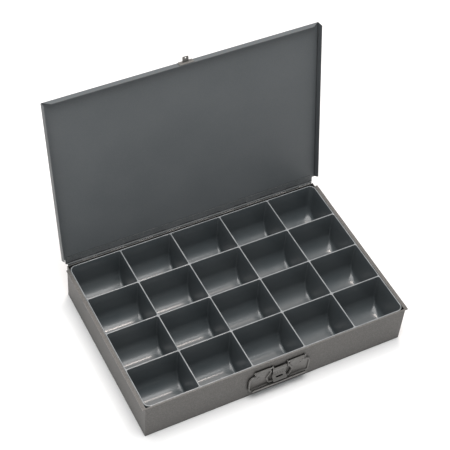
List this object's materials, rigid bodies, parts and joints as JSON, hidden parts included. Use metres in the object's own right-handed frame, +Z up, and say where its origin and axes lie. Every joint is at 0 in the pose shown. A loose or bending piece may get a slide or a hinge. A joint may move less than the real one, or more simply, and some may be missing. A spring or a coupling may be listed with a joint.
{
  "type": "compartment parts case",
  "caption": "Flat sheet-steel case with a hinged lid, a drop handle with hasp, and a moulded tray of scoop-bottomed compartments for small parts.",
  "frame": {"origin": "middle of the case's underside", "axes": "+X along the front to the right as one faces the latch, +Y from the front to the hinge, +Z up"},
  "size_m": [0.4572, 0.3662, 0.3807],
  "materials": {
    "case_coat": "satin powder coat, mid grey",
    "lid_coat": "satin powder coat, mid grey",
    "latch_coat": "satin powder coat, mid grey",
    "tray_plastic": "semi-gloss moulded plastic, dark grey",
    "pin_steel": "plain drawn wire"
  },
  "bodies": {
    "case": {"body_shell": "case_coat", "compartment_insert": "tray_plastic", "hinge_leaf_body": "case_coat", "hinge_pin": "pin_steel", "latch_bracket": "latch_coat", "bracket_rivet_outer_left": "latch_coat", "bracket_rivet_inner_left": "latch_coat", "bracket_rivet_inner_right": "latch_coat", "bracket_rivet_outer_right": "latch_coat", "handle_pin_left": "pin_steel", "handle_pin_right": "pin_steel", "hasp_pin": "pin_steel"},
    "lid": {"lid_panel": "lid_coat", "hinge_leaf_lid": "lid_coat", "lid_strike": "latch_coat", "strike_rivet_left": "latch_coat", "strike_rivet_right": "latch_coat"},
    "handle": {"carry_handle": "latch_coat"},
    "hasp": {"hasp_latch": "latch_coat"}
  },
  "joints": [
    {"name": "lid_hinge", "type": "hinge", "parent": "case", "child": "lid", "pos_m": [0, 0.14925, 0.0731], "axis": [1, 0, 0], "range_deg": [0, 101]},
    {"name": "handle_swing", "type": "hinge", "parent": "case", "child": "handle", "pos_m": [0, -0.1498, 0.0575], "axis": [-1, 0, 0], "range_deg": [0, 95]},
    {"name": "hasp_swing", "type": "hinge", "parent": "case", "child": "hasp", "pos_m": [0, -0.1507, 0.0525], "axis": [-1, 0, 0], "range_deg": [0, 160]}
  ]
}
